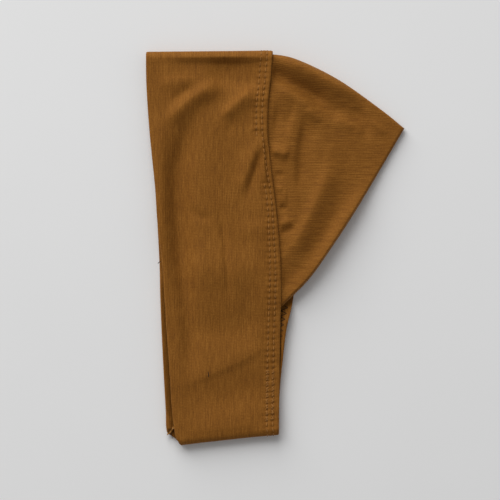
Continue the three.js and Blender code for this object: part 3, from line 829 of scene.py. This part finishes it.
# %% Jersey material
YARN_TONES = [  # mm across the ribs, mm along them, share in the tone
    (0.9, 8.0, 0.27),  # uneven yarn
    (2.2, 40.0, 0.1),  # broad faint stripes
    (0.8, 1.0, 0.25),  # single loops that catch the light
    (14.0, 20.0, 0.07),  # slow change in the dye
]
LOOPS = [(1.1, 0, 1.0), (0, 0.95, 0.45)]  # mm between ribs, mm between rows of loops, height of each
FUZZ = 2.6  # height that the finer tones add to the loops
KNIT_DEPTH, TWIST_DEPTH = 0.00007, 0.00005  # metres that the bumps of cloth and thread stand for


def cotton_jersey(name, dark, middle, light):
    """Fine cotton jersey, whose pattern follows the cloth_mm map."""
    material, tree = new_material(name)
    cloth = add_node(tree, "ShaderNodeUVMap", uv_map="cloth_mm").outputs["UV"]
    tone, knit = 0.5 - sum(share for _, _, share in YARN_TONES) / 2, 0.0
    for seed, (across, along, share) in enumerate(YARN_TONES):
        moved = {"Scale": (1 / across, 1 / along, 1), "Location": (7.3 * seed, 5.1 * seed, 0)}
        place = add_node(tree, "ShaderNodeMapping", {"Vector": cloth, **moved}).outputs["Vector"]
        spun = {"Vector": place, "Scale": 1.0, "Detail": 2.0}
        yarn = add_node(tree, "ShaderNodeTexNoise", spun, noise_dimensions="2D").outputs["Fac"]
        terms = {0: yarn, 1: share, 2: tone}
        tone = add_node(tree, "ShaderNodeMath", terms, operation="MULTIPLY_ADD").outputs[0]
        if along < 30 and across < 2:
            terms = {0: yarn, 1: FUZZ, 2: knit}
            knit = add_node(tree, "ShaderNodeMath", terms, operation="MULTIPLY_ADD").outputs[0]
    for across, along, height in LOOPS:
        pitch = (2 * math.pi / across if across else 0, 2 * math.pi / along if along else 0, 0)
        turns = add_node(tree, "ShaderNodeVectorMath", {0: cloth, 1: pitch}, operation="DOT_PRODUCT")
        wave = add_node(tree, "ShaderNodeMath", {0: turns.outputs["Value"]}, operation="SINE").outputs[0]
        terms = {0: wave, 1: height, 2: knit}
        knit = add_node(tree, "ShaderNodeMath", terms, operation="MULTIPLY_ADD").outputs[0]
    darker = add_node(tree, "ShaderNodeMapRange", {"Value": tone, "From Min": 0.36, "From Max": 0.5})
    lighter = add_node(tree, "ShaderNodeMapRange", {"Value": tone, "From Min": 0.5, "From Max": 0.64})
    shades = {0: darker.outputs[0], 6: colour(dark), 7: colour(middle)}
    base = add_node(tree, "ShaderNodeMix", shades, data_type="RGBA")
    shades = {0: lighter.outputs[0], 6: base.outputs[2], 7: colour(light)}
    base = add_node(tree, "ShaderNodeMix", shades, data_type="RGBA")
    look = {"Roughness": 0.75, "IOR": 1.45, "Specular IOR Level": 0.12}
    look |= {"Sheen Weight": 0.5, "Sheen Roughness": 0.35, "Sheen Tint": colour("#DDA563")}
    woven_surface(tree, base.outputs[2], knit, KNIT_DEPTH, look)
    return material


band_jersey = cotton_jersey("ochre_cotton_jersey", "#6F4417", "#83531C", "#966327")
cut_jersey = cotton_jersey("cut_edge_of_jersey", "#8A5A26", "#AE7C40", "#CFA066")
band_cloth.data.materials.append(band_jersey)
crown_cloth.data.materials.append(band_jersey)
nape_seam_cloth.data.materials.append(cut_jersey)
print("jersey nodes:", len(band_jersey.node_tree.nodes))

# %% [markdown]
# ## Sewing thread
#
# The needle thread is spun polyester, dyed to match: a touch lighter and smoother than the cloth, so each
# stitch catches a small light. The looper thread on the inside is textured and fluffier; its very dark colour
# is partly its own and partly painted shade, the shade in and under its loops.


# %% Thread materials
def sewing_thread(name, dark, light, roughness):
    """Twisted thread: fine bands from its twist, about 0.5 mm apart."""
    material, tree = new_material(name)
    place = add_node(tree, "ShaderNodeTexCoord").outputs["Object"]
    twist = add_node(tree, "ShaderNodeTexNoise", {"Vector": place, "Scale": 2000.0, "Detail": 1.0})
    ends = {"From Min": 0.35, "From Max": 0.65}
    share = add_node(tree, "ShaderNodeMapRange", {"Value": twist.outputs["Fac"], **ends})
    shades = {0: share.outputs[0], 6: colour(dark), 7: colour(light)}
    base = add_node(tree, "ShaderNodeMix", shades, data_type="RGBA")
    look = {"Roughness": roughness, "IOR": 1.5, "Specular IOR Level": 0.15, "Sheen Weight": 0.1}
    woven_surface(tree, base.outputs[2], twist.outputs["Fac"], TWIST_DEPTH, look)
    return material


needle_thread = sewing_thread("spun_polyester_thread", "#885822", "#AB7739", 0.7)
# the looper thread's very dark colour is partly painted shade, the shade in and under its loops
looper_thread = sewing_thread("looper_thread_with_painted_shade", "#2C1A0A", "#4A2E14", 0.85)
dark_fibre = sewing_thread("dark_cotton_fibre", "#1F1309", "#3A2512", 0.9)

# %% [markdown]
# ## Stitches by Geometry Nodes
#
# A stitch is a short grain of thread between two needle holes. The tree puts one on each point of a small
# mesh, turns it along the seam, and varies its length and its turn a little. The points come from the
# band's own mesh, so the stitches sit in the hollows that the relief made for them.

# %% Geometry Nodes tree for needle stitches
STITCH_INPUTS = [
    ("Thread", "NodeSocketFloat", 0.00042),
    ("Length", "NodeSocketFloat", 0.0031),
    ("Wobble", "NodeSocketFloat", 0.12),
    ("Seed", "NodeSocketInt", 4),
    ("Material", "NodeSocketMaterial", None),
]


def tree_with_inputs(name, inputs):
    """An empty Geometry Nodes tree with named inputs, and the outputs of its group input node."""
    tree = bpy.data.node_groups.new(name, "GeometryNodeTree")
    tree.interface.new_socket("Geometry", in_out="INPUT", socket_type="NodeSocketGeometry")
    tree.interface.new_socket("Geometry", in_out="OUTPUT", socket_type="NodeSocketGeometry")
    for label, kind, usual in inputs:
        socket = tree.interface.new_socket(label, in_out="INPUT", socket_type=kind)
        if usual is not None:
            socket.default_value = usual
    return tree, add_node(tree, "NodeGroupInput").outputs


def dress(tree, given, geometry):
    """The last nodes of a tree: its geometry made real, smooth and of the given material."""
    real = add_node(tree, "GeometryNodeRealizeInstances", {"Geometry": geometry})
    smooth = add_node(tree, "GeometryNodeSetShadeSmooth", {0: real.outputs["Geometry"]})
    clothes = {"Geometry": smooth.outputs[0], "Material": given["Material"]}
    dressed = add_node(tree, "GeometryNodeSetMaterial", clothes)
    add_node(tree, "NodeGroupOutput", {"Geometry": dressed.outputs["Geometry"]})
    return tree


def needle_stitch_tree():
    tree, given = tree_with_inputs("needle_stitches", STITCH_INPUTS)
    grain = add_node(tree, "GeometryNodeMeshUVSphere", {"Segments": 10, "Rings": 7, "Radius": 1.0})
    along = add_node(tree, "GeometryNodeInputNamedAttribute", {"Name": "along"}, data_type="FLOAT_VECTOR")
    way = {"Vector": along.outputs["Attribute"]}
    facing = add_node(tree, "FunctionNodeAlignRotationToVector", way, axis="Z")
    wobble = add_node(tree, "ShaderNodeMath", {0: given["Wobble"], 1: -1.0}, operation="MULTIPLY")
    ends = {2: wobble.outputs[0], 3: given["Wobble"], "Seed": given["Seed"]}
    lean = add_node(tree, "FunctionNodeRandomValue", ends, data_type="FLOAT")
    tilt = add_node(tree, "ShaderNodeCombineXYZ", {"X": 0.0, "Y": lean.outputs[1], "Z": 0.0})
    turns = {"Rotation": facing.outputs["Rotation"], "Rotate By": tilt.outputs["Vector"]}
    turned = add_node(tree, "FunctionNodeRotateRotation", turns, rotation_space="LOCAL")
    ends = {2: 0.85, 3: 1.08, "Seed": given["Seed"]}
    vary = add_node(tree, "FunctionNodeRandomValue", ends, data_type="FLOAT")
    longer = add_node(tree, "ShaderNodeMath", {0: given["Length"], 1: vary.outputs[1]}, operation="MULTIPLY")
    half_length = add_node(tree, "ShaderNodeMath", {0: longer.outputs[0], 1: 0.5}, operation="MULTIPLY")
    half_thread = add_node(tree, "ShaderNodeMath", {0: given["Thread"], 1: 0.5}, operation="MULTIPLY")
    halves = {"X": half_thread.outputs[0], "Y": half_thread.outputs[0], "Z": half_length.outputs[0]}
    size = add_node(tree, "ShaderNodeCombineXYZ", halves)
    grains = {"Points": given["Geometry"], "Instance": grain.outputs["Mesh"]}
    grains |= {"Rotation": turned.outputs["Rotation"], "Scale": size.outputs["Vector"]}
    placed = add_node(tree, "GeometryNodeInstanceOnPoints", grains)
    return dress(tree, given, placed.outputs["Instances"])


stitch_tree = needle_stitch_tree()


def grown(name, points, vectors, edges, tree, **values):
    """Runs a tree on points in mm that carry named vectors, and returns the result as a plain mesh object."""
    mesh = bpy.data.meshes.new(name + "_points")
    mesh.from_pydata((np.array(points) * MM).tolist(), edges, [])
    for label, vector in vectors.items():
        attribute = mesh.attributes.new(label, "FLOAT_VECTOR", "POINT")
        attribute.data.foreach_set("vector", np.array(vector, np.float32).ravel())
    source = in_scene(name, mesh)
    modifier = source.modifiers.new(name, "NODES")
    modifier.node_group = tree
    wanted = [item for item in tree.interface.items_tree if item.in_out == "INPUT"]
    sockets = {item.name: item.identifier for item in wanted}
    for label, value in values.items():
        modifier[sockets[label.replace("_", " ").capitalize()]] = value
    view = bpy.context.evaluated_depsgraph_get()
    made = bpy.data.meshes.new_from_object(source.evaluated_get(view), depsgraph=view)
    source.modifiers.remove(modifier)
    source.data = made
    made.name = name
    print(name, len(made.polygons), "faces")
    return source


# %% [markdown]
# ## Rows of needle stitches
#
# Each row is the line on the band's outer side that keeps its distance from the hem. Its length is shared
# out into equal stitches, whose ends meet the needle holes. Where the pinch folds over the inner row, its
# stitches are hidden, and none are made.

# %% Stitches on the band
STITCH_LIFT, LOWEST_STITCH = 0.16, 0.24  # mm off the cloth, and mm over the table
TOP_LEVEL = 6  # mm, above which a point is on the top layer
LOOK = 0.9  # mm to each side, from which a stitch takes its direction


def row_line(grid, insets, distances):
    """The line on a grid that lies the given distances in from the hem, one point for each ring."""
    rings = zip(grid, insets, distances)
    return np.array([read_along(place, inset[::-1], points[::-1]) for points, inset, place in rings])


def stitch_points(line, run, places):
    """Points and directions along a line at places given by the run of its rings."""
    looped_line = np.vstack([line, line[:1]])
    looped_run = np.append(run, loop_length)
    spot, ahead, behind = (read_along(places + k * LOOK, looped_run, looped_line) for k in (0, 1, -1))
    direction = ahead - behind
    return spot, direction / np.linalg.norm(direction, axis=1)[:, None]


outer_insets = insets_of(outer)
inner_insets = insets_of(inner)
centres = (np.arange(hole_count) + 0.5) * hole_step
stitch_spots, stitch_ways = [], []
for row in ("first", "second"):
    line = row_line(outer, outer_insets, row_insets[row])
    spots, ways = stitch_points(line, loop_run, centres)
    spots = spots + STITCH_LIFT * read_along(centres, loop_run, outward[:, 0])
    spots[:, 2] = np.maximum(spots[:, 2], LOWEST_STITCH)
    on_top = spots[:, 2] > TOP_LEVEL
    shown = ~((row == "second") & on_top & (spots[:, 1] > PINCH[0]) & (spots[:, 1] < PINCH[1]))
    stitch_spots.append(spots[shown])
    stitch_ways.append(ways[shown])
stitch_look = dict(thread=0.0006, length=0.0029, wobble=0.14, seed=4, material=needle_thread)
ways = {"along": np.vstack(stitch_ways)}
needle_stitches = grown("needle_stitches", np.vstack(stitch_spots), ways, [], stitch_tree, **stitch_look)

# %% [markdown]
# The end of the seam is sewn over its start for a few centimetres, so that it can't come undone. The
# second pass never lands in the same holes, and the rows turn into a crowd of short stitches.

# %% Stitches sewn over twice
OVERLAP_ROWS = [  # row, mm further in, share of a stitch further along
    ("first", 0.55, 0.22),
    ("first", -0.5, 0.6),
    ("second", 0.5, 0.35),
    ("second", -0.6, 0.78),
]
OVERLAP_LIFT = 0.12
STRAY, STRAY_SIZE = 0.35, 2.2  # mm that a short stitch strays along the seam
short_spots, short_ways = [], []
for row, shift, start in OVERLAP_ROWS:
    line = row_line(outer, outer_insets, row_insets[row] + shift)
    places = (np.arange(hole_count * 2) / 2 + start) * hole_step
    places += STRAY * soft_noise(places, 0 * places + 9 * start, STRAY_SIZE, 23)
    spots, ways = stitch_points(line, loop_run, places % loop_length)
    spots[:, 2] += OVERLAP_LIFT
    shown = (spots[:, 2] > TOP_LEVEL) & (spots[:, 1] > OVERLAP[0]) & (spots[:, 1] < OVERLAP[1])
    short_spots.append(spots[shown])
    short_ways.append(ways[shown])
stitch_look = dict(thread=0.0005, length=0.0013, wobble=0.7, seed=8, material=needle_thread)
ways = {"along": np.vstack(short_ways)}
short_stitches = grown("overlap_stitches", np.vstack(short_spots), ways, [], stitch_tree, **stitch_look)

# %% [markdown]
# ## The looper thread inside
#
# On the inner side of a twin-needle hem, one soft thread zigzags between the two rows. It shows on the
# lower layer where that sticks out on the right. It is a path of points that the tree turns into a
# thread. The crown's cloth covers it elsewhere, so it is only made between the crown and the nape.

# %% Looper thread by Geometry Nodes
STRAND_INPUTS = [("Thread", "NodeSocketFloat", 0.0003), ("Material", "NodeSocketMaterial", None)]


def strand_tree():
    tree, given = tree_with_inputs("strands", STRAND_INPUTS)
    path = add_node(tree, "GeometryNodeMeshToCurve", {"Mesh": given["Geometry"]})
    half = add_node(tree, "ShaderNodeMath", {0: given["Thread"], 1: 0.5}, operation="MULTIPLY")
    section = add_node(tree, "GeometryNodeCurvePrimitiveCircle", {"Resolution": 6, "Radius": half.outputs[0]})
    curves = {"Curve": path.outputs["Curve"], "Profile Curve": section.outputs["Curve"]}
    tube = add_node(tree, "GeometryNodeCurveToMesh", {**curves, "Fill Caps": True})
    return dress(tree, given, tube.outputs["Mesh"])


strands = strand_tree()
LEG = 4  # points of the thread from one row to the other
UNDER_SHIFT = 1.2  # the rows lie this much nearer to the edge there
LOOPER_LIFT = 0.15
LOOPER_END = -106  # y
levels = np.abs((np.arange(2 * LEG) + LEG) % (2 * LEG) - LEG) / LEG
places = np.arange(2 * LEG * hole_count) * hole_step / (2 * LEG)
zigzag = np.empty((len(places), 3))
for share in np.unique(levels):
    inset = mix(row_insets["first"], row_insets["second"], share) - UNDER_SHIFT
    spots, _ = stitch_points(row_line(inner, inner_insets, inset), loop_run, places)
    at_level = np.resize(levels, len(places)) == share
    zigzag[at_level] = spots[at_level]
zigzag[:, 2] += LOOPER_LIFT
last_under = loop_run[under_rings][-1]
bare = (places < last_under) & (zigzag[:, 1] < CROWN_MOUTH["under"]) & (zigzag[:, 1] > LOOPER_END)
edges = [(int(k), int(k) + 1) for k in np.flatnonzero(bare[:-1] & bare[1:])]
# the zigzag wears the looper thread's dark colour, which is partly painted shade
looper = grown("looper_thread", zigzag, {}, edges, strands, thread=0.0005, material=looper_thread)

# %% [markdown]
# ## Loose ends
#
# Small things that a new cap has: a cut thread end on the front edge, another at the nape corner, and a
# fleck of dark cotton caught in the cloth. Each is a short thread laid on the surface.


# %% Thread ends and a fleck
def laid_strand(name, plan, thread, material, heights=None):
    """A thread along a short path, on the band's surface unless its heights are given."""
    path = smooth_path(plan, 5)
    if heights is None:
        z = band_top(path[:, 0], path[:, 1]) + 0.4 * thread / MM
    else:
        z = np.interp(np.linspace(0, 1, len(path)), np.linspace(0, 1, len(heights)), heights)
    points = np.column_stack([path, z])
    edges = [(k, k + 1) for k in range(len(points) - 1)]
    return grown(name, points, {}, edges, strands, thread=thread, material=material)


EDGE_END = [(-73.2, -8.6), (-74.2, -9.1), (-74.9, -9.9)]
NAPE_END = [(-66.7, -118.4), (-66, -119.9), (-65.8, -121.6)]
FLECK = [(-43, -78.7), (-42.6, -80.3), (-42.7, -81.9)]
edge_thread = laid_strand("edge_thread_end", EDGE_END, 0.00045, dark_fibre, [5.2, 5.4, 4.6])
# this thread end wears the looper thread's dark colour, which is partly painted shade
nape_thread = laid_strand("nape_thread_end", NAPE_END, 0.00035, looper_thread, [5.2, 4.6, 3.4])
fleck = laid_strand("cotton_fleck", FLECK, 0.0004, dark_fibre)

# %% [markdown]
# ## Telling the frame what each piece is
#
# Every piece rides on the one body. The three cloth pieces stand in for the solids of the frame.

# %% Riding and replacing
extras = [needle_stitches, short_stitches, looper, edge_thread, nape_thread, fleck]
for piece in (band_cloth, crown_cloth, nape_seam_cloth, *extras):
    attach(piece, "root")
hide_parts("band")
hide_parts("crown")
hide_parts("nape_seam")
print("pieces:", 3 + len(extras))

# %% [markdown]
# ## Floor, light and camera
#
# The cap lies on a pale table. One large soft light stands beyond the forehead, a little to the left, so
# the upper sides of the folds are bright and their lower sides shade. The white surroundings fill the
# shadows. The camera looks straight down from far away, because the outline shows no perspective.

# %% Table
TABLE_SIZE, TABLE_TOP = 4, -0.0003  # metres
bpy.ops.mesh.primitive_plane_add(size=TABLE_SIZE, location=(0, 0, TABLE_TOP))
table = bpy.context.object
table.name = "pale_table"
table_paint, table_tree = new_material("matt_pale_paint")
place = add_node(table_tree, "ShaderNodeTexCoord").outputs["Object"]
cloud = add_node(table_tree, "ShaderNodeTexNoise", {"Vector": place, "Scale": 9.0, "Detail": 2.0})
shades = {0: cloud.outputs["Fac"], 6: colour("#EDEDED"), 7: colour("#F0F0F0")}
table_colour = add_node(table_tree, "ShaderNodeMix", shades, data_type="RGBA")
look = {"Base Color": table_colour.outputs[2], "Roughness": 0.9, "Specular IOR Level": 0.1}
table_surface = add_node(table_tree, "ShaderNodeBsdfPrincipled", look)
add_node(table_tree, "ShaderNodeOutputMaterial", {"Surface": table_surface.outputs["BSDF"]})
table.data.materials.append(table_paint)


# %% Light
def soft_light(name, place, size, power, tint):
    """A square area light that faces the middle of the cap."""
    lamp = bpy.data.lights.new(name, "AREA")
    lamp.size = size
    lamp.energy = power
    lamp.color = colour(tint)[:3]
    holder = in_scene(name, lamp)
    holder.location = place
    holder.rotation_euler = (-Vector(place)).to_track_quat("-Z", "Y").to_euler()


WINDOW_PLACE, WINDOW_SIZE, WINDOW_POWER = (-1.15, 2.3, 1.66), 3.0, 112.0  # metres, metres, watts
ROOM_LIGHT = 0.28
soft_light("window_light", WINDOW_PLACE, WINDOW_SIZE, WINDOW_POWER, "#FFFFFF")
world = bpy.data.worlds.new("white_room")
bpy.context.scene.world = world
world.use_nodes = True
world.node_tree.nodes["Background"].inputs["Color"].default_value = (1, 1, 1, 1)
world.node_tree.nodes["Background"].inputs["Strength"].default_value = ROOM_LIGHT
bpy.context.scene.view_settings.view_transform = "Standard"

# %% Camera
FRAME_WIDTH = 0.320  # metres of table across the picture
CAMERA_HEIGHT = 1.6
CAMERA_ASIDE = (-0.0162, -0.0013)  # metres from the cap's middle, right and up
SENSOR = 36  # mm
camera_data = bpy.data.cameras.new("overhead_camera")
camera_data.sensor_width = SENSOR
camera_data.lens = SENSOR * CAMERA_HEIGHT / FRAME_WIDTH
camera = in_scene("overhead_camera", camera_data)
camera.location = (*CAMERA_ASIDE, CAMERA_HEIGHT)
bpy.context.scene.camera = camera
print("lens:", round(camera_data.lens), "mm")
